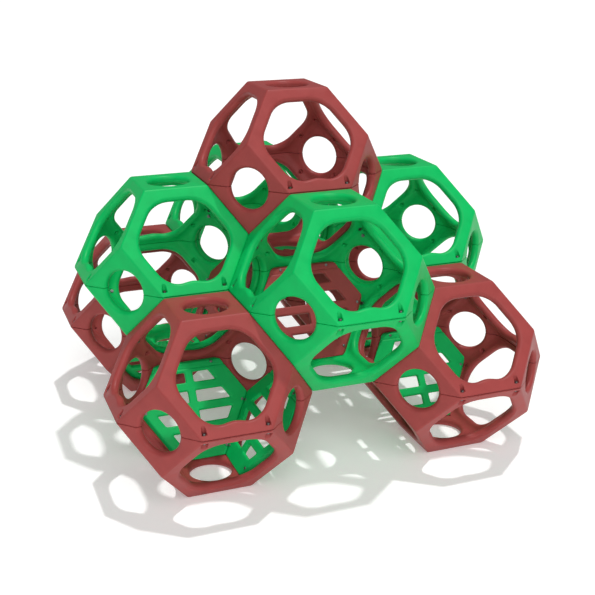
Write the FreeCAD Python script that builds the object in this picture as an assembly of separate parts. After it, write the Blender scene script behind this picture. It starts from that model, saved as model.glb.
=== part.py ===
"""Dome climber: nine moulded climbing cells bolted together as a stepped pyramid.

Each cell is a truncated octahedron (six square and eight hexagonal faces) moulded as an upper and a
lower double-walled half shell that bolt together round the cell's equator. One cell stands on four,
and those four stand on four more. Lattice panels close the lower hexagons that face the hollow under
the pyramid. Millimetres, +Z up, the origin on the ground under the top cell, and X and Y along the
directions in which the square faces look.
"""
import FreeCAD, Part
import math
import os

V = FreeCAD.Vector

# ---- Cells ------------------------------------------------------------------
CELL = 1200.0            # across two opposite square faces
WALL = 56.0              # outer face to inner face of the double wall
SKIN = 6.0               # plastic on each side of the hollow in that wall
EDGE_RADIUS = 8.0        # outer edges of a cell
HEX_OPENING = 570.0      # across the flats of the opening in a hexagonal face
HEX_CORNER = 180.0       # corner radius of that opening
ROUND_OPENING = 276.0    # diameter of the opening in a square face
LIP_RADIUS = 22.0        # rolled edge of every opening, inside and outside
LIP_SOLID = 14.0         # solid plastic between an opening and the hollow

# ---- Seam round the equator -------------------------------------------------
SEAM_SOLID = 28.0        # solid flange on each side of the seam
POCKET_INSET = 15.132    # middle of a bolt pocket in from the end of its equator edge
POCKET_MOUTH = 46.0      # width of a pocket at the equator edge
HEAD_FLOOR = 26.0        # height of the bolt head's seat above the seam
HEAD_DEPTH = 55.0        # how far a head pocket reaches in from the equator edge
HEAD_BACK = 20.0         # width of a head pocket at its back
NUT_CEILING = 22.0       # depth of the nut's seat below the seam
NUT_DEPTH = 52.0         # how far a nut pocket reaches in from the equator edge
NUT_BACK = 34.0          # width of a nut pocket at its back
SEAM_BOLT_INSET = 38.0   # bolt's axis in from the equator edge

# ---- Fasteners --------------------------------------------------------------
BOLT = 12.0              # thread diameter of the seam and coupling bolts
BOLT_CLEARANCE = 1.5     # bolt to its hole, on the diameter
BOLT_FLANGE = 24.0       # diameter of the flange under a head or nut
FLANGE_HEIGHT = 3.0
BOLT_FLATS = 18.0        # across the flats of a head or nut
HEAD_HEIGHT = 8.0
NUT_HEIGHT = 10.0
THREAD_END = 3.0         # thread that stands out past a nut
BOSS = 36.0              # diameter of a solid boss that a coupling bolt passes
HEX_COUPLING_INSET = 67.264     # coupling bolts in from a hexagon's level corners
SQUARE_COUPLING_INSET = 84.0    # coupling bolts and anchor holes in from a square's corners
ANCHOR_HOLE = 14.0       # diameter of the holes for ground anchors

# ---- Lattice panels ---------------------------------------------------------
PANEL_THICK = 32.0
PANEL_GAP = 3.0          # between two panels, and between a panel and the walls of the square faces
WINDOW_FIELD = 480.0     # across the flats of the hexagon that the windows fill
WINDOW_PITCH = 140.0     # from one row of windows to the next
WINDOW_HEIGHT = 80.0
WINDOW_ROWS = 4
CENTRE_BAR = 56.0        # width of the bar between the two columns
WINDOW_CORNER = 10.0
WINDOW_EDGE = 6.0        # rounding of the windows' edges
SCREW_INSET = 48.772     # corner screws in from the inner corners of the hexagon
SCREW = 10.0             # thread diameter of a panel screw
SCREW_CLEARANCE = 1.0    # screw to its hole in the panel, on the diameter
SCREW_HEAD = 20.0        # diameter of its dome head
SCREW_HEAD_HEIGHT = 6.0
SCREW_FIT = 0.2          # screw's thread to insert's bore, on the diameter
INSERT = 16.0            # diameter of a threaded insert moulded into the wall
INSERT_LENGTH = 28.0
INSERT_BOSS = 28.0       # diameter of the solid boss round an insert

# ---- Worked out from the above ----------------------------------------------
UNIT = CELL / 4.0                        # every corner of a cell is a permutation of 0, 1 and 2 units
SQUARE_OUT = 2.0 * UNIT                  # cell's centre to a square face
HEX_OUT = math.sqrt(3.0) * UNIT          # cell's centre to a hexagonal face
EQUATOR_OUT = 3.0 * UNIT / math.sqrt(2)  # cell's centre to an equator edge, level
HEX_REACH = (HEX_OPENING - HEX_CORNER * (2 - math.sqrt(3))) / math.sqrt(3)  # opening's far corners
FAR = 2.0 * CELL                         # larger than any cell, for cutting blocks

EDGE = math.sqrt(2.0) * UNIT             # every edge of a cell
INNER_TO_SQUARE = math.sqrt(1.5) * UNIT - WALL * (math.sqrt(1.5) - math.sqrt(0.5))
INNER_TO_HEX = math.sqrt(1.5) * UNIT - WALL * math.sqrt(0.5)
INNER_CORNER = math.sqrt((INNER_TO_SQUARE ** 2 + INNER_TO_HEX ** 2
                          - INNER_TO_SQUARE * INNER_TO_HEX) / 0.75)

POCKET_SPREAD = EDGE - 2 * POCKET_INSET            # between the two pockets on one equator edge
HEX_COUPLING_RADIUS = EDGE - HEX_COUPLING_INSET    # hexagon's centre to each coupling bolt
SQUARE_COUPLING_RADIUS = UNIT - SQUARE_COUPLING_INSET
SCREW_RADIUS = INNER_CORNER - SCREW_INSET          # panel's centre to each corner screw
BOLT_HOLE = BOLT + BOLT_CLEARANCE
SCREW_HOLE = SCREW + SCREW_CLEARANCE

CELLS = {
    "top": (0, 0, 6),
    "middle_front_right": (2, -2, 4),
    "middle_front_left": (-2, -2, 4),
    "middle_back_right": (2, 2, 4),
    "middle_back_left": (-2, 2, 4),
    "base_front": (0, -4, 2),
    "base_right": (4, 0, 2),
    "base_left": (-4, 0, 2),
    "base_back": (0, 4, 2),
}
AROUND = [(1, -1), (1, 1), (-1, 1), (-1, -1)]
SQUARES = [(1, 0, 0), (-1, 0, 0), (0, 1, 0), (0, -1, 0), (0, 0, 1), (0, 0, -1)]
HEXES = [(x, y, z) for x, y in AROUND for z in (1, -1)]
PANEL_SIDES = {1: "front_right", 2: "back_right", 3: "back_left", 4: "front_left"}


# ---- Frames -----------------------------------------------------------------
def centre_of(cell):
    return V(*CELLS[cell]) * UNIT


def face_frame(facing):
    """Placement on the middle of a face: Z out of the face, X level, Y up the face."""
    outward = V(*facing).normalize()
    out = HEX_OUT if 0 not in facing else SQUARE_OUT
    level = V(0, 0, 1).cross(outward)
    level = V(1, 0, 0) if level.Length < 1e-6 else level.normalize()
    uphill = outward.cross(level)
    return FreeCAD.Placement(outward * out, FreeCAD.Rotation(level, uphill, outward, "ZXY"))


def equator_frame(x, y):
    """Placement on the middle of an equator edge: X along the edge, Y inward, Z up."""
    inward = V(-x, -y, 0).normalize()
    along = inward.cross(V(0, 0, 1))
    return FreeCAD.Placement(inward * -EQUATOR_OUT, FreeCAD.Rotation(along, inward, V(0, 0, 1), "ZXY"))


def placed(shape, placement):
    moved = shape.copy()
    moved.Placement = placement.multiply(moved.Placement)
    return moved


def moved_to(shape, offset):
    moved = shape.copy()
    moved.translate(offset)
    return moved


# ---- Plain solids -----------------------------------------------------------
def cell_body(inset):
    """Truncated octahedron, each face this far inside the cell's own."""
    half = SQUARE_OUT - inset
    body = Part.makeBox(2 * half, 2 * half, 2 * half, V(-half, -half, -half))
    block = Part.makeBox(FAR, FAR, FAR, V(-FAR / 2, -FAR / 2, -inset))
    return body.cut([placed(block, face_frame(facing)) for facing in HEXES])


def disc(radius, low, high, at=V(0, 0, 0)):
    return Part.makeCylinder(radius, high - low, at + V(0, 0, low))


def hexagon_prism(flats, low, high, first_corner_deg=0.0):
    corner = flats / 2 / math.cos(math.radians(30))
    points = []
    for side in range(7):
        angle = math.radians(first_corner_deg + 60 * side)
        points.append(V(corner * math.cos(angle), corner * math.sin(angle), low))
    return Part.Face(Part.makePolygon(points)).extrude(V(0, 0, high - low))


def upright_edges(shape):
    return [edge for edge in shape.Edges
            if abs(edge.Vertexes[0].X - edge.Vertexes[-1].X) < 1e-6
            and abs(edge.Vertexes[0].Y - edge.Vertexes[-1].Y) < 1e-6]


def opening(facing, growth):
    """What an opening takes out of a wall, grown sideways, in the cell's frame."""
    low, high = -2 * WALL, WALL
    if 0 in facing:
        tool = disc(ROUND_OPENING / 2 + growth, low, high)
    else:
        tool = hexagon_prism(HEX_OPENING + 2 * growth, low, high)
        tool = tool.makeFillet(HEX_CORNER + growth, upright_edges(tool))
    return placed(tool, face_frame(facing))


def pocket(mouth, back, depth, floor, growth):
    """A pocket for a bolt head, in the equator edge's frame, with its floor this far from the seam."""
    slope = (mouth - back) / 2 / depth
    front = -growth - 1.0
    wide = mouth / 2 + growth - slope * front
    narrow = back / 2 + growth
    points = [V(-wide, front, 0), V(wide, front, 0),
              V(narrow, depth + growth, 0), V(-narrow, depth + growth, 0)]
    tool = Part.Face(Part.makePolygon(points + points[:1])).extrude(V(0, 0, CELL / 8))
    return moved_to(tool, V(0, 0, floor - growth))


def seam_points():
    """Placements of the seam bolts: on the seam, Z along the bolt towards its head."""
    spots = []
    for x, y in AROUND:
        for side in (-1, 1):
            spot = FreeCAD.Placement(V(side * POCKET_SPREAD / 2, 0, 0), FreeCAD.Rotation())
            spots.append(equator_frame(x, y).multiply(spot))
    return spots


def pockets(upper, growth):
    if upper:
        tool = pocket(POCKET_MOUTH, HEAD_BACK, HEAD_DEPTH, HEAD_FLOOR, growth)
    else:
        tool = pocket(POCKET_MOUTH, NUT_BACK, NUT_DEPTH, NUT_CEILING, growth)
        tool = tool.mirror(V(0, 0, 0), V(0, 0, 1))
    return [placed(tool, spot) for spot in seam_points()]


# ---- Half shells ------------------------------------------------------------
def coupling_spots(facing):
    """Where coupling bolts may cross a face, in the face's frame."""
    if 0 in facing:
        radius = SQUARE_COUPLING_RADIUS
        if not facing[2]:
            return [V(0, radius, 0)]
        return [V(radius, 0, 0), V(-radius, 0, 0), V(0, radius, 0), V(0, -radius, 0)]
    return [V(HEX_COUPLING_RADIUS, 0, 0), V(-HEX_COUPLING_RADIUS, 0, 0)]


def insert_spots():
    spots = []
    for corner in range(6):
        angle = math.radians(60 * corner)
        spots.append(V(SCREW_RADIUS * math.cos(angle), SCREW_RADIUS * math.sin(angle), 0))
    return spots


def bosses():
    """Solid stretches across the hollow, where bolts and inserts go."""
    solids = []
    for facing in SQUARES + HEXES:
        crossing = [disc(BOSS / 2, -WALL, 0, spot) for spot in coupling_spots(facing)]
        if 0 not in facing and facing[2] < 0:
            crossing += [disc(INSERT_BOSS / 2, -WALL, 0, spot) for spot in insert_spots()]
        solids += [placed(boss, face_frame(facing)) for boss in crossing]
    return solids


def is_lip(edge):
    """True for an edge round an opening, on the outside or the inside of the wall."""
    middle = edge.valueAt((edge.FirstParameter + edge.LastParameter) / 2)
    for facing in SQUARES + HEXES:
        reach = ROUND_OPENING / 2 if 0 in facing else HEX_REACH
        local = face_frame(facing).inverse().multVec(middle)
        on_a_face = min(abs(local.z), abs(local.z + WALL)) < 0.01
        if on_a_face and math.hypot(local.x, local.y) < reach + 0.01:
            return True
    return False


def whole_shell():
    """The wall of a complete cell with its openings and rolled lips, still solid."""
    outer = cell_body(0.0)
    outer = outer.makeFillet(EDGE_RADIUS, outer.Edges)
    wall = outer.cut(cell_body(WALL))
    wall = wall.cut([opening(facing, 0.0) for facing in SQUARES + HEXES])
    return wall.makeFillet(LIP_RADIUS, [edge for edge in wall.Edges if is_lip(edge)])


def half_space(upper, clearance):
    low = clearance if upper else -clearance - FAR
    return Part.makeBox(FAR, FAR, FAR, V(-FAR / 2, -FAR / 2, low))


def hollow(upper):
    """The air inside one half shell's double wall."""
    air = cell_body(SKIN).cut(cell_body(WALL - SKIN)).common(half_space(upper, SEAM_SOLID))
    kept = [opening(facing, LIP_SOLID) for facing in SQUARES + HEXES]
    return air.cut(kept + pockets(upper, SKIN) + bosses())


def blank_half(shell, upper):
    """One half shell as it leaves the mould, with its seam bolt holes."""
    half = shell.common(half_space(upper, 0.0)).cut(pockets(upper, 0.0))
    hole = disc(BOLT_HOLE / 2, -SEAM_SOLID - SKIN, SEAM_SOLID + SKIN, V(0, SEAM_BOLT_INSET, 0))
    return half.cut([placed(hole, spot) for spot in seam_points()]).cut(hollow(upper))


def neighbour(cell, facing):
    """The cell that touches this one at a face, or None."""
    step = 2 if 0 not in facing else 4
    there = tuple(here + step * way for here, way in zip(CELLS[cell], facing))
    return next((name for name, place in CELLS.items() if place == there), None)


def panelled(cell, facing):
    """True for a free lower hexagon that faces the hollow under the pyramid."""
    if 0 in facing or facing[2] > 0 or neighbour(cell, facing) or cell == "top":
        return False
    x, y, _ = CELLS[cell]
    inwards = x * facing[0] + y * facing[1] < 0
    return inwards


def drilled(blank, cell, upper):
    """A cell's half shell: the blank, in place, with the holes that this cell needs."""
    through = disc(BOLT_HOLE / 2, -WALL - 1, 1)
    blind = disc(INSERT / 2, -WALL - 1, -WALL + INSERT_LENGTH)
    anchor = disc(ANCHOR_HOLE / 2, -WALL - 1, 1)
    tools = []
    for facing in SQUARES + HEXES:
        frame = face_frame(facing)
        if neighbour(cell, facing):
            tools += [placed(moved_to(through, spot), frame) for spot in coupling_spots(facing)]
        if panelled(cell, facing):
            tools += [placed(moved_to(blind, spot), frame) for spot in insert_spots()]
    if cell.startswith("base"):
        down = face_frame((0, 0, -1))
        tools += [placed(moved_to(anchor, spot), down) for spot in coupling_spots((0, 0, -1))]
    tools = [tool for tool in tools if (tool.BoundBox.Center.z > 0) == upper]
    half = blank.cut(tools) if tools else blank.copy()
    return moved_to(half, centre_of(cell))


# ---- Lattice panels ---------------------------------------------------------
def window(row, side):
    """One window of the lattice, through the panel, in the face's frame."""
    low, high = -WALL - PANEL_THICK - 1, -WALL + 1
    middle = (row - (WINDOW_ROWS - 1) / 2) * WINDOW_PITCH
    left = CENTRE_BAR / 2 if side > 0 else -WINDOW_FIELD
    box = Part.makeBox(WINDOW_FIELD - CENTRE_BAR / 2, WINDOW_HEIGHT, high - low,
                       V(left, middle - WINDOW_HEIGHT / 2, low))
    tool = box.common(hexagon_prism(WINDOW_FIELD, low, high))
    return tool.makeFillet(WINDOW_CORNER, upright_edges(tool))


def lattice_panel():
    """A panel as it lies inside a lower hexagonal face, in the face's frame."""
    near, far = PANEL_GAP / 2, SQUARE_OUT - WALL - PANEL_GAP
    octant = Part.makeBox(far - near, far - near, far - near, V(near, -far, -far))
    slab = Part.makeBox(CELL, CELL, PANEL_THICK, V(-CELL / 2, -CELL / 2, -WALL - PANEL_THICK))
    plate = placed(octant, face_frame((1, -1, -1)).inverse()).common(slab)
    windows = [window(row, side) for row in range(WINDOW_ROWS) for side in (-1, 1)]
    plate = plate.cut(windows)
    field = WINDOW_FIELD / math.sqrt(3)
    rims = [edge for edge in plate.Edges
            if abs(edge.BoundBox.ZLength) < 1e-6
            and math.hypot(edge.BoundBox.Center.x, edge.BoundBox.Center.y) < field
            and abs(edge.BoundBox.Center.y) < WINDOW_FIELD / 2 + 0.01]
    plate = plate.makeFillet(WINDOW_EDGE, rims)
    hole = disc(SCREW_HOLE / 2, -WALL - PANEL_THICK - 1, -WALL + 1)
    return plate.cut([moved_to(hole, spot) for spot in insert_spots()])


def panel_screw():
    """A dome-headed screw through a panel's corner, in the face's frame."""
    seat = -WALL - PANEL_THICK
    length = PANEL_THICK + INSERT_LENGTH - 2.0
    shank = disc(SCREW / 2 - SCREW_FIT / 2, seat, seat + length)
    head = disc(SCREW_HEAD / 2, seat - SCREW_HEAD_HEIGHT, seat)
    crown = [edge for edge in head.Edges if abs(edge.BoundBox.Center.z - seat + SCREW_HEAD_HEIGHT) < 0.01]
    socket = hexagon_prism(SCREW * 0.6, seat - SCREW_HEAD_HEIGHT - 1, seat - 2.0)
    return head.makeFillet(SCREW_HEAD_HEIGHT * 0.7, crown[:1]).fuse(shank).removeSplitter().cut(socket)


def panel_insert():
    """A threaded insert in the wall behind a panel's corner, in the face's frame."""
    body = disc(INSERT / 2, -WALL, -WALL + INSERT_LENGTH)
    return body.cut(disc(SCREW / 2, -WALL - 1, -WALL + INSERT_LENGTH + 1))


# ---- Bolts and nuts ---------------------------------------------------------
def flange_bolt(grip):
    """Flange bolt along Z: its head's seat at zero, the shank below."""
    shank = disc(BOLT / 2, -grip - NUT_HEIGHT - THREAD_END, 0)
    head = disc(BOLT_FLANGE / 2, 0, FLANGE_HEIGHT)
    return shank.fuse([head, hexagon_prism(BOLT_FLATS, FLANGE_HEIGHT, FLANGE_HEIGHT + HEAD_HEIGHT)])


def flange_nut(grip):
    """Flange nut on that bolt's thread, its seat the grip below zero."""
    flange = disc(BOLT_FLANGE / 2, -grip - FLANGE_HEIGHT, -grip)
    body = flange.fuse(hexagon_prism(BOLT_FLATS, -grip - NUT_HEIGHT, -grip - FLANGE_HEIGHT))
    return body.cut(disc(BOLT / 2, -grip - NUT_HEIGHT - 1, -grip + 1))


def seam_fasteners(cell):
    grip = HEAD_FLOOR + NUT_CEILING
    bolts, nuts = [], []
    for spot in seam_points():
        seat = spot.multiply(FreeCAD.Placement(V(0, SEAM_BOLT_INSET, HEAD_FLOOR), FreeCAD.Rotation()))
        bolts.append(moved_to(placed(flange_bolt(grip), seat), centre_of(cell)))
        nuts.append(moved_to(placed(flange_nut(grip), seat), centre_of(cell)))
    return bolts, nuts


def coupling_fasteners(cell, facing):
    """Bolts from inside this cell, through its face and its neighbour's, to nuts inside the neighbour."""
    inside = FreeCAD.Rotation(V(1, 0, 0), 180)
    bolts, nuts = [], []
    for spot in coupling_spots(facing):
        seat = face_frame(facing).multiply(FreeCAD.Placement(spot + V(0, 0, -WALL), inside))
        bolts.append(moved_to(placed(flange_bolt(2 * WALL), seat), centre_of(cell)))
        nuts.append(moved_to(placed(flange_nut(2 * WALL), seat), centre_of(cell)))
    return bolts, nuts


# ---- Write every node -------------------------------------------------------
def write(node, solids):
    shape = solids[0] if len(solids) == 1 else Part.makeCompound(solids)
    for solid in shape.Solids:
        if not solid.isValid():
            raise ValueError(node + " has a solid that is not valid")
    shape.exportStep(os.path.join("parts", node + ".step"))
    print(node, len(shape.Solids), "solids", round(shape.Volume / 1e6, 3), "litres")


def write_shells():
    shell = whole_shell()
    for upper in (True, False):
        blank = blank_half(shell, upper)
        for cell in CELLS:
            write(cell + ("_upper_shell" if upper else "_lower_shell"), [drilled(blank, cell, upper)])


def write_panels():
    panel, screw, insert = lattice_panel(), panel_screw(), panel_insert()
    screws = {"base": [], "middle": []}
    inserts = {"base": [], "middle": []}
    for cell in CELLS:
        layer = cell.split("_")[0]
        for side, (x, y) in enumerate(AROUND, start=1):
            if not panelled(cell, (x, y, -1)):
                continue
            frame = face_frame((x, y, -1))
            write(cell + "_panel_" + PANEL_SIDES[side], [moved_to(placed(panel, frame), centre_of(cell))])
            for spot in insert_spots():
                screws[layer].append(moved_to(placed(moved_to(screw, spot), frame), centre_of(cell)))
                inserts[layer].append(moved_to(placed(moved_to(insert, spot), frame), centre_of(cell)))
    for layer in ("base", "middle"):
        write(layer + "_panel_screws", screws[layer])
        write(layer + "_panel_inserts", inserts[layer])


def write_fasteners():
    groups = {}
    for cell in CELLS:
        bolts, nuts = seam_fasteners(cell)
        write(cell + "_seam_bolts", bolts)
        write(cell + "_seam_nuts", nuts)
        for facing in SQUARES + HEXES:
            other = neighbour(cell, facing)
            if other is None or list(CELLS).index(other) < list(CELLS).index(cell):
                continue
            name = cell.split("_")[0] + "_to_" + other.split("_")[0]
            bolts, nuts = coupling_fasteners(cell, facing)
            groups.setdefault(name + "_bolts", []).extend(bolts)
            groups.setdefault(name + "_nuts", []).extend(nuts)
    for name, solids in groups.items():
        write(name, solids)


def main():
    os.makedirs("parts", exist_ok=True)
    write_shells()
    write_panels()
    write_fasteners()


main()
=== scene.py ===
"""Dome climber: nine rotationally moulded climbing cells with their lattice panels and fasteners.

Every moulded piece is drawn from a distance field, a formula that gives how far a point lies outside
the plastic. Flat faces, openings, pockets and holes are fields of their own, and are joined with the
rounded edges that moulded plastic has. Fields are worked out in millimetres round a cell's centre.
"""
import math

import bpy
import numpy as np
from bpy.props import FloatProperty, PointerProperty, StringProperty
from bpy.types import Operator, Panel, PropertyGroup
from mathutils import Matrix, Vector


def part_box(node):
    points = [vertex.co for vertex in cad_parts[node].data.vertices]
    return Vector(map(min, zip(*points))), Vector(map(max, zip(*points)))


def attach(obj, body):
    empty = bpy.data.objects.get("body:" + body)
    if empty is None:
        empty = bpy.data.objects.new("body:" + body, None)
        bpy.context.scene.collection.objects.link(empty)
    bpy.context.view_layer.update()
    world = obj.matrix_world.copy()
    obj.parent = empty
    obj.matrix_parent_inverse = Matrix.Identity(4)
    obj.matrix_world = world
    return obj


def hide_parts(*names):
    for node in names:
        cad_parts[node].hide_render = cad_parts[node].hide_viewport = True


bl_info = {
    "name": "Dome Climber",
    "version": (1, 0, 0),
    "blender": (4, 5, 0),
    "location": "View3D > Sidebar > Climber",
    "description": "Builds a dome climber of moulded plastic cells over its CAD frame",
    "category": "Object",
}

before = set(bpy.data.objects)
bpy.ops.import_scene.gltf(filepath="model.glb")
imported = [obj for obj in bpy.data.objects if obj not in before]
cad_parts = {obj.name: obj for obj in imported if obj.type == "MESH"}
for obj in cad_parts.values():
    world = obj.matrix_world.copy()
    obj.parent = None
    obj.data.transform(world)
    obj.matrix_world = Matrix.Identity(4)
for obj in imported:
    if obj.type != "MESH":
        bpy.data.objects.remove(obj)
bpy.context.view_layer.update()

ROOT3 = math.sqrt(3)
ROOT2 = math.sqrt(2)
SIDES = {"front_right": (1, -1), "back_right": (1, 1), "back_left": (-1, 1), "front_left": (-1, -1)}


# ---- Small details ----------------------------------------------------------
# Millimetres, the same on every cell.
CROWN_WIDTH = 75
CROWN_START = 140  # below the middle of the face
CROWN_RISE = 100
POCKET_BACK_RADIUS = 6
POCKET_SEAT_RADIUS = 5
POCKET_RIM = 3
BOLT_PLACE = 357  # middle of the face to the bolt hole at a side corner
SOCKET_ASIDE = 281
SOCKET_BELOW = 162
HOLE_RIM = 2
HOLE_PAST = 20  # how far a hole's cut stands out past the inner face
ANCHOR_PLACE = 216
ANCHOR_RADIUS = 7
ANCHOR_PAST = 5  # how far an anchor hole's cut goes on past the wall
ANCHOR_RIM = 1
SEAM_GAP = 0.4  # each half shell's edge to the middle of the seam
GROOVE_DEPTH = 4
GROOVE_WIDTH = 5
WINDOW_CORNER = 10
OUTER_ROW = 1.5  # row pitches from the middle of the panel

# Radius and depth of what is sunk into the wall from inside.
SPOT_FACE = 17, 0
BOLT_HOLE = 7, 16
DISH = 17, 5
EYE = 8, 22

GRID_SHIFT = 0.137  # keeps the grid's points off the flat faces
KEPT_FACES = 0.3  # share of the faces left after thinning


# ---- Stage ------------------------------------------------------------------
FLOOR_REACH = 60.0
WORLD_LIGHT = 0.2
SUNS = (  # name, direction it shines from, strength, spread in degrees
    ("key", (0.45, -0.60, 0.67), 1.4, 50),
    ("overhead", (0.10, 0.17, 1.0), 1.5, 2),
)
LENS = 63.5
FARTHEST_SEEN = 200
CAMERA_PLACE = (3.040, -6.520, 3.445)
CAMERA_BACK = (0.3888, -0.8569, 0.3384)  # from what is seen towards the camera


# ---- Sizes and colours ------------------------------------------------------
def millimetres(name, about, value):
    return FloatProperty(name=name, description=about + ", in millimetres", default=value, min=0.1)


class ShellSizes(PropertyGroup):
    """Sizes of a moulded cell."""
    cell: millimetres("Cell", "Across two opposite square faces", 1200)
    wall: millimetres("Wall", "Outer face to inner face", 56)
    edge: millimetres("Edge radius", "Rounding of the outer edges", 9)
    blend: millimetres("Inner blend", "Rounding of the inner corners", 24)
    lip: millimetres("Lip radius", "Rolled edge round each opening", 26)
    hex_opening: millimetres("Hexagonal opening", "Across its flats", 570)
    hex_corner: millimetres("Opening's corner", "Corner radius of the hexagonal opening", 180)
    round_opening: millimetres("Round opening", "Diameter", 276)
    crown: millimetres("Crown", "Rise in the middle of an upper opening's bottom edge", 18)
    pocket_spread: millimetres("Pocket spread", "Between the two bolt pockets on an edge", 394)
    pocket_mouth: millimetres("Pocket mouth", "Width of a bolt pocket at the edge", 46)
    head_floor: millimetres("Head seat", "Height of a bolt head's seat above the seam", 26)
    head_depth: millimetres("Head pocket depth", "How far a head's pocket reaches in", 55)
    head_back: millimetres("Head pocket back", "Width of a head's pocket at its back", 20)
    nut_ceiling: millimetres("Nut seat", "Depth of a nut's seat below the seam", 22)
    nut_depth: millimetres("Nut pocket depth", "How far a nut's pocket reaches in", 52)
    nut_back: millimetres("Nut pocket back", "Width of a nut's pocket at its back", 34)
    seam: millimetres("Seam radius", "Rounding of the edges that meet at the seam", 3)
    grain: millimetres("Mesh step", "Spacing of the mesh before it is thinned", 7)


class PanelSizes(PropertyGroup):
    """Sizes of a lattice panel."""
    thick: millimetres("Thickness", "Of the panel", 32)
    gap: millimetres("Gap", "Between two panels, and to the walls of the square faces", 3)
    edge: millimetres("Edge radius", "Rounding of the panel's rim", 6)
    rung: millimetres("Rung radius", "Rounding of the bars between the windows", 13)
    field: millimetres("Window field", "Across the flats of the hexagon that the windows fill", 480)
    pitch: millimetres("Row pitch", "From one row of windows to the next", 140)
    window: millimetres("Window height", "Height of a window", 80)
    bar: millimetres("Centre bar", "Width of the bar between the columns", 56)
    groove: millimetres("Groove place", "Panel's middle to the groove in its top plank", 264)
    grain: millimetres("Mesh step", "Spacing of the mesh before it is thinned", 5)


class Colours(PropertyGroup):
    """Colours as sRGB hex values."""
    red: StringProperty(name="Red", description="Brick red plastic", default="#A24644")
    green: StringProperty(name="Green", description="Leaf green plastic", default="#04C062")
    zinc: StringProperty(name="Zinc", description="Plated steel", default="#7C7E7D")
    floor: StringProperty(name="Floor", description="Studio floor", default="#F4F5F4")


# ---- Fields -----------------------------------------------------------------
def both(a, b, radius):
    """Field of what lies in both shapes, with the edge where they meet rounded."""
    corner = np.hypot(np.maximum(a + radius, 0), np.maximum(b + radius, 0))
    return np.minimum(np.maximum(a, b), -radius) + corner


def polyhedron(x, y, z, cell, inset, radius):
    """Truncated octahedron, each face moved in by the inset, for points in its first octant."""
    slope = (x + y + z - 0.75 * cell) / ROOT3 + inset
    field = slope
    for across in (x, y, z):
        field = both(field, slope - 2 * across / ROOT3, radius)
    for along in (x, y, z):
        field = both(field, along - cell / 2 + inset, radius)
    return field


def hexagon(s, t, flats, corner):
    """Rounded hexagon with two level sides."""
    s, t = np.abs(s), np.abs(t)
    half = flats / 2 - corner
    fold = 2 * np.minimum(t / 2 - ROOT3 / 2 * s, 0)
    s, t = s + fold * ROOT3 / 2, t - fold / 2
    s = s - np.clip(s, -half / ROOT3, half / ROOT3)
    return np.hypot(s, t - half) * np.sign(t - half) - corner


def face_plane(x, y, z):
    """Level and uphill place on the hexagonal face of the first octant."""
    return (y - x) / ROOT2, (2 * z - x - y) / math.sqrt(6)


def pocket(depth, along, height, mouth, back, reach, floor):
    """Tapered bolt pocket, open to the outside and upwards."""
    half = mouth / 2 - (mouth - back) / 2 * depth / reach
    field = both(along - half, depth - reach, POCKET_BACK_RADIUS)
    return both(field, floor - height, POCKET_SEAT_RADIUS)


def shell_field(sizes, upper, anchored):
    """Field of one half shell; anchored adds the holes for ground anchors."""
    c = sizes
    out = c.cell * 0.75 / ROOT3
    edge_out = c.cell * 0.75 / ROOT2

    def field(px, py, pz):
        x, y, z = np.abs(px), np.abs(py), np.abs(pz)
        outside = polyhedron(x, y, z, c.cell, 0.0, c.edge)
        inside = polyhedron(x, y, z, c.cell, c.wall, c.blend)
        wall = np.maximum(outside, -inside)
        s, t = face_plane(x, y, z)
        crown = 0.0
        if upper:
            fade = np.clip((-t - CROWN_START) / CROWN_RISE, 0, 1)
            crown = c.crown * np.exp(-(s / CROWN_WIDTH) ** 2) * fade
        holes = -hexagon(s, t - crown, c.hex_opening, c.hex_corner)
        for a, b in ((y, z), (x, z), (x, y)):
            holes = np.maximum(holes, c.round_opening / 2 - np.hypot(a, b))
        solid = both(wall, holes, c.lip)
        along = np.abs(np.abs(s) - c.pocket_spread / 2)
        depth = edge_out - (x + y) / ROOT2
        if upper:
            tool = pocket(depth, along, z, c.pocket_mouth, c.head_back, c.head_depth, c.head_floor)
        else:
            tool = pocket(depth, along, z, c.pocket_mouth, c.nut_back, c.nut_depth, c.nut_ceiling)
        solid = both(solid, -tool, POCKET_RIM)
        # A spot face and bolt hole at each side corner, and a dished socket with an eye below it.
        inward = out - (x + y + z) / ROOT3
        corner = np.hypot(np.abs(s) - BOLT_PLACE, t)
        socket = np.hypot(np.abs(s) - SOCKET_ASIDE, t + SOCKET_BELOW)
        for centre, (radius, sunk) in (
            (corner, SPOT_FACE), (corner, BOLT_HOLE), (socket, DISH), (socket, EYE),
        ):
            length = np.maximum(c.wall - sunk - inward, inward - c.wall - HOLE_PAST)
            solid = both(solid, -np.maximum(centre - radius, length), HOLE_RIM)
        if anchored:
            anchor = np.hypot(np.maximum(x, y) - ANCHOR_PLACE, np.minimum(x, y)) - ANCHOR_RADIUS
            length = c.cell / 2 - c.wall - ANCHOR_PAST - z
            solid = both(solid, -np.maximum(anchor, length), ANCHOR_RIM)
        side = pz if upper else -pz
        return both(solid, SEAM_GAP - side, c.seam)

    return field


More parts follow.
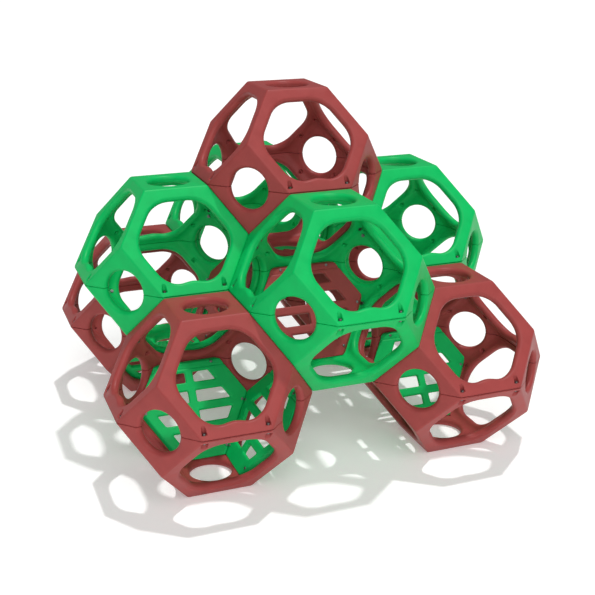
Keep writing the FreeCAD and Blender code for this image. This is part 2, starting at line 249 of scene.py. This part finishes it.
def panel_field(shell, sizes):
    """Field of a lattice panel on the lower hexagonal face of the first octant."""
    c = sizes
    out = shell.cell * 0.75 / ROOT3

    def field(x, y, pz):
        z = -pz
        inward = out - (x + y + z) / ROOT3
        s, t = face_plane(x, y, z)
        groove = GROOVE_DEPTH * np.exp(-((t + c.groove) / GROOVE_WIDTH) ** 2)
        slab = np.abs(inward - shell.wall - c.thick / 2) - c.thick / 2 + groove
        rim = np.full_like(x, -1e3)
        for along in (x, y, z):
            rim = np.maximum(rim, along - shell.cell / 2 + shell.wall + c.gap)
            rim = np.maximum(rim, c.gap / 2 - along)
        inner_row = np.abs(np.abs(t) - c.pitch / 2)
        outer_row = np.abs(np.abs(t) - OUTER_ROW * c.pitch)
        row = np.minimum(inner_row, outer_row) - c.window / 2
        window = both(row, c.bar / 2 - np.abs(s), WINDOW_CORNER)
        window = both(window, hexagon(s, t, c.field, WINDOW_CORNER), WINDOW_CORNER)
        return both(both(slab, rim, c.edge), -window, c.rung)

    return field


# ---- Meshes -----------------------------------------------------------------
def slopes(field, points, step=0.5):
    """Field and its slope at each point."""
    x, y, z = points.T
    rise = np.stack([
        field(x + step, y, z) - field(x - step, y, z),
        field(x, y + step, z) - field(x, y - step, z),
        field(x, y, z + step) - field(x, y, z - step),
    ], axis=1) / (2 * step)
    return field(x, y, z), rise


def settled(field, points):
    """Moves points onto the surface along the field's slope."""
    for _ in range(3):
        value, rise = slopes(field, points)
        square = np.maximum((rise ** 2).sum(axis=1), 0.25)
        points = points - rise * (value / square)[:, None]
    return points


def surface(field, low, high, step):
    """Points and four-sided faces of the field's zero surface inside a box."""
    axes = [np.arange(a - 2 * step, b + 2.5 * step, step) + GRID_SHIFT for a, b in zip(low, high)]
    grid = np.meshgrid(*axes, indexing="ij")
    values = field(*grid).astype(np.float32)
    inside = values < 0
    n = [len(a) for a in axes]
    corners = [(i, j, k) for i in (0, 1) for j in (0, 1) for k in (0, 1)]
    filled = sum(
        inside[i:i + n[0] - 1, j:j + n[1] - 1, k:k + n[2] - 1].astype(np.int8) for i, j, k in corners
    )
    at = np.argwhere((filled > 0) & (filled < 8))
    number = np.full([m - 1 for m in n], -1, np.int32)
    number[tuple(at.T)] = np.arange(len(at))
    total = np.zeros((len(at), 3))
    count = np.zeros(len(at))
    for a in corners:
        for b in corners:
            if sum(b) - sum(a) != 1 or any(q < p for p, q in zip(a, b)):
                continue
            va = values[tuple((at + a).T)].astype(float)
            vb = values[tuple((at + b).T)].astype(float)
            cross = (va < 0) != (vb < 0)
            share = np.where(cross, va / np.where(cross, va - vb, 1), 0)
            place = np.array(a) + share[:, None] * (np.array(b) - np.array(a))
            total += place * cross[:, None]
            count += cross
    origin = np.array([a[0] for a in axes])
    points = origin + step * (at + total / count[:, None])
    faces = []
    for axis in range(3):
        u, v = (axis + 1) % 3, (axis + 2) % 3
        first = [slice(1, m - 1) for m in n]
        first[axis] = slice(0, n[axis] - 1)
        second = list(first)
        second[axis] = slice(1, n[axis])
        change = inside[tuple(first)] != inside[tuple(second)]
        edge = np.argwhere(change)
        for other in (u, v):
            edge[:, other] += 1
        ring = []
        for du, dv in ((-1, -1), (0, -1), (0, 0), (-1, 0)):
            cell = edge.copy()
            cell[:, u] += du
            cell[:, v] += dv
            ring.append(number[tuple(cell.T)])
        quads = np.stack(ring, axis=1)
        outward = inside[tuple(edge.T)]
        quads[~outward] = quads[~outward][:, ::-1]
        faces.append(quads)
    return settled(field, points), np.concatenate(faces)


def moulded_mesh(name, field, low, high, step):
    """Mesh of a field in metres, thinned where it is flat, with the field's own smooth normals."""
    points, faces = surface(field, low, high, step)
    mesh = bpy.data.meshes.new(name)
    mesh.from_pydata((points / 1000).tolist(), [], faces.tolist())
    maker = bpy.data.objects.new(name + "_maker", mesh)
    bpy.context.collection.objects.link(maker)
    thin = maker.modifiers.new("Thin", "DECIMATE")
    thin.ratio = KEPT_FACES
    graph = bpy.context.evaluated_depsgraph_get()
    done = bpy.data.meshes.new_from_object(maker.evaluated_get(graph))
    done.name = name
    bpy.data.objects.remove(maker)
    bpy.data.meshes.remove(mesh)
    flat = np.empty(len(done.vertices) * 3)
    done.vertices.foreach_get("co", flat)
    points = settled(field, flat.reshape(-1, 3) * 1000)
    done.vertices.foreach_set("co", (points / 1000).ravel())
    done.polygons.foreach_set("use_smooth", [True] * len(done.polygons))
    rise = slopes(field, points)[1]
    rise /= np.maximum(np.linalg.norm(rise, axis=1), 1e-6)[:, None]
    done.normals_split_custom_set_from_vertices(rise.tolist())
    done.update()
    return done


# ---- Materials --------------------------------------------------------------
def linear(code):
    """sRGB hex value to a linear colour."""
    parts = [int(code[i:i + 2], 16) / 255 for i in (1, 3, 5)]
    return tuple(p / 12.92 if p <= 0.04045 else ((p + 0.055) / 1.055) ** 2.4 for p in parts) + (1.0,)


def add_node(material, kind, settings=(), **links):
    """Adds a node, sets its properties and sockets, and links the sockets that are given outputs."""
    node = material.node_tree.nodes.new(kind)
    for name, value in dict(settings).items():
        if hasattr(node, name):
            setattr(node, name, value)
        else:
            node.inputs[name].default_value = value
    for name, output in links.items():
        material.node_tree.links.new(output, node.inputs[name.replace("_", " ")])
    return node


def new_material(name):
    material = bpy.data.materials.new(name)
    material.use_nodes = True
    shader = material.node_tree.nodes["Principled BSDF"]
    return material, shader


def moulded_polyethylene(name, code):
    """Rotationally moulded polyethylene: a waxy satin skin with a faint orange peel and pigment mottle."""
    material, shader = new_material(name)
    shader.inputs["IOR"].default_value = 1.51
    shader.inputs["Specular IOR Level"].default_value = 0.18
    links = material.node_tree.links
    place = add_node(material, "ShaderNodeTexCoord").outputs["Object"]
    # Pigment powder melts into soft clouds about 90 mm across.
    cloud = add_node(material, "ShaderNodeTexNoise", {"Scale": 1000 / 90, "Detail": 3.0}, Vector=place)
    tones = {"From Min": 0.3, "From Max": 0.7, "To Min": 0.93, "To Max": 1.05}
    tone = add_node(material, "ShaderNodeMapRange", tones, Value=cloud.outputs["Fac"])
    colour = {"Color": linear(code)}
    tint = add_node(material, "ShaderNodeHueSaturation", colour, Value=tone.outputs["Result"])
    links.new(tint.outputs["Color"], shader.inputs["Base Color"])
    # The mould's grit-blasted wall prints a peel about 5 mm across, drawn at 9 mm so that it shows.
    peel = add_node(material, "ShaderNodeTexNoise", {"Scale": 1000 / 9, "Detail": 2.0}, Vector=place)
    glosses = {"From Min": 0.25, "From Max": 0.75, "To Min": 0.36, "To Max": 0.5}
    gloss = add_node(material, "ShaderNodeMapRange", glosses, Value=cloud.outputs["Fac"])
    links.new(gloss.outputs["Result"], shader.inputs["Roughness"])
    relief = {"Strength": 0.12, "Distance": 0.0006}
    bump = add_node(material, "ShaderNodeBump", relief, Height=peel.outputs["Fac"])
    links.new(bump.outputs["Normal"], shader.inputs["Normal"])
    return material


def zinc_plated_steel(name, code):
    """Weathered zinc plating on cold-forged steel: a dull grey metal with soft cloudy gloss."""
    material, shader = new_material(name)
    shader.inputs["Metallic"].default_value = 1.0
    shader.inputs["Base Color"].default_value = linear(code)
    place = add_node(material, "ShaderNodeTexCoord").outputs["Object"]
    # Plating spangle about 4 mm across.
    cloud = add_node(material, "ShaderNodeTexNoise", {"Scale": 1000 / 4, "Detail": 2.0}, Vector=place)
    glosses = {"To Min": 0.25, "To Max": 0.45}
    gloss = add_node(material, "ShaderNodeMapRange", glosses, Value=cloud.outputs["Fac"])
    material.node_tree.links.new(gloss.outputs["Result"], shader.inputs["Roughness"])
    return material


def studio_floor(name, code):
    """Matt rolled paint: pale, with no gloss worth seeing."""
    material, shader = new_material(name)
    shader.inputs["Base Color"].default_value = linear(code)
    shader.inputs["Roughness"].default_value = 0.9
    shader.inputs["Emission Color"].default_value = (1, 1, 1, 1)
    shader.inputs["Emission Strength"].default_value = 0.25
    return material


# ---- Pieces -----------------------------------------------------------------
def cell_names():
    return sorted(name[:-len("_upper_shell")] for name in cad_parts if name.endswith("_upper_shell"))


def cell_centre(cell):
    low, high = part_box(cell + "_upper_shell")
    return Vector(((low[0] + high[0]) / 2, (low[1] + high[1]) / 2, low[2]))


def is_green(cell):
    return cell.startswith("middle")


def piece(node, mesh, material, place):
    """Puts a mesh in place of a CAD node."""
    shown = bpy.data.objects.new(node + "_moulded", mesh)
    bpy.context.collection.objects.link(shown)
    shown.matrix_world = place
    if not mesh.materials:
        mesh.materials.append(material)
    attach(shown, "root")
    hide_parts(node)


class CLIMBER_OT_shells(Operator):
    """Moulds the upper and lower half shell of every cell"""
    bl_idname = "climber.shells"
    bl_label = "Half Shells"

    def execute(self, context):
        sizes, colours = context.scene.climber_shell, context.scene.climber_colours
        half = sizes.cell / 2
        plastic = {
            True: moulded_polyethylene("rotomoulded_polyethylene_green", colours.green),
            False: moulded_polyethylene("rotomoulded_polyethylene_red", colours.red),
        }
        for upper in (True, False):
            low = (-half, -half, 0 if upper else -half)
            high = (half, half, half if upper else 0)
            made = {}
            for cell in cell_names():
                anchored = cell.startswith("base") and not upper
                if anchored not in made:
                    name = ("upper" if upper else "lower") + ("_anchored" if anchored else "")
                    field = shell_field(sizes, upper, anchored)
                    made[anchored] = {False: moulded_mesh(name, field, low, high, sizes.grain)}
                    made[anchored][True] = made[anchored][False].copy()
                green = is_green(cell)
                node = cell + ("_upper_shell" if upper else "_lower_shell")
                piece(node, made[anchored][green], plastic[green],
                      Matrix.Translation(cell_centre(cell)))
        return {"FINISHED"}


class CLIMBER_OT_panels(Operator):
    """Moulds the lattice panels inside the lower faces"""
    bl_idname = "climber.panels"
    bl_label = "Lattice Panels"

    def execute(self, context):
        shell, sizes = context.scene.climber_shell, context.scene.climber_panel
        colours = context.scene.climber_colours
        far = shell.cell / 2 - shell.wall
        field = panel_field(shell, sizes)
        mesh = moulded_mesh("lattice_panel", field, (0, 0, -far), (far, far, 0), sizes.grain)
        made = {
            True: (mesh, moulded_polyethylene("panel_polyethylene_green", colours.green)),
            False: (mesh.copy(), moulded_polyethylene("panel_polyethylene_red", colours.red)),
        }
        for cell in cell_names():
            green = not is_green(cell)
            for side, (x, y) in SIDES.items():
                node = cell + "_panel_" + side
                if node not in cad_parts:
                    continue
                turn = Matrix.Rotation(math.atan2(y, x) - math.pi / 4, 4, "Z")
                mesh, plastic = made[green]
                piece(node, mesh, plastic, Matrix.Translation(cell_centre(cell)) @ turn)
        return {"FINISHED"}


class CLIMBER_OT_fasteners(Operator):
    """Gives the bolts, nuts, screws and inserts their zinc"""
    bl_idname = "climber.fasteners"
    bl_label = "Fasteners"

    def execute(self, context):
        steel = zinc_plated_steel("zinc_plated_steel", context.scene.climber_colours.zinc)
        for name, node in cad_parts.items():
            if name.endswith(("_bolts", "_nuts", "_screws", "_inserts")):
                for slot in node.material_slots:
                    slot.material = steel
        return {"FINISHED"}


class CLIMBER_OT_stage(Operator):
    """Sets the floor, the lights and the camera"""
    bl_idname = "climber.stage"
    bl_label = "Stage"

    def execute(self, context):
        scene = context.scene
        mesh = bpy.data.meshes.new("floor")
        far = FLOOR_REACH
        corners = [(-far, -far, 0), (far, -far, 0), (far, far, 0), (-far, far, 0)]
        mesh.from_pydata(corners, [], [(0, 1, 2, 3)])
        floor = bpy.data.objects.new("floor", mesh)
        scene.collection.objects.link(floor)
        mesh.materials.append(studio_floor("matt_floor_paint", scene.climber_colours.floor))

        world = bpy.data.worlds.new("studio")
        scene.world = world
        world.use_nodes = True
        sky = world.node_tree.nodes["Background"].inputs
        sky["Color"].default_value = (1, 1, 1, 1)
        sky["Strength"].default_value = WORLD_LIGHT

        for name, source, power, spread in SUNS:
            lamp = bpy.data.objects.new(name, bpy.data.lights.new(name, "SUN"))
            lamp.data.energy = power
            lamp.data.angle = math.radians(spread)
            lamp.rotation_euler = Vector(source).to_track_quat("Z", "Y").to_euler()
            scene.collection.objects.link(lamp)

        camera = bpy.data.objects.new("camera", bpy.data.cameras.new("camera"))
        camera.data.lens = LENS
        camera.data.clip_end = FARTHEST_SEEN
        camera.location = CAMERA_PLACE
        camera.rotation_euler = Vector(CAMERA_BACK).to_track_quat("Z", "Y").to_euler()
        scene.collection.objects.link(camera)
        scene.camera = camera
        scene.view_settings.view_transform = "Standard"
        return {"FINISHED"}


class CLIMBER_PT_sidebar(Panel):
    """Lists the climber's steps and sizes"""
    bl_idname = "CLIMBER_PT_sidebar"
    bl_label = "Dome Climber"
    bl_space_type = "VIEW_3D"
    bl_region_type = "UI"
    bl_category = "Climber"

    def draw(self, context):
        for key in GROUPS:
            group = getattr(context.scene, key)
            column = self.layout.column(align=True)
            for name in group.__annotations__:
                column.prop(group, name)
        for step in STEPS:
            self.layout.operator(step.bl_idname)


STEPS = (CLIMBER_OT_shells, CLIMBER_OT_panels, CLIMBER_OT_fasteners, CLIMBER_OT_stage)
GROUPS = {"climber_shell": ShellSizes, "climber_panel": PanelSizes, "climber_colours": Colours}


def register():
    for name, group in GROUPS.items():
        bpy.utils.register_class(group)
        setattr(bpy.types.Scene, name, PointerProperty(type=group))
    for cls in STEPS + (CLIMBER_PT_sidebar,):
        bpy.utils.register_class(cls)


def unregister():
    for cls in (CLIMBER_PT_sidebar,) + STEPS[::-1]:
        bpy.utils.unregister_class(cls)
    for name, group in GROUPS.items():
        delattr(bpy.types.Scene, name)
        bpy.utils.unregister_class(group)


def main():
    register()
    bpy.ops.climber.shells()
    bpy.ops.climber.panels()
    bpy.ops.climber.fasteners()
    bpy.ops.climber.stage()


if __name__ == "__main__":
    main()
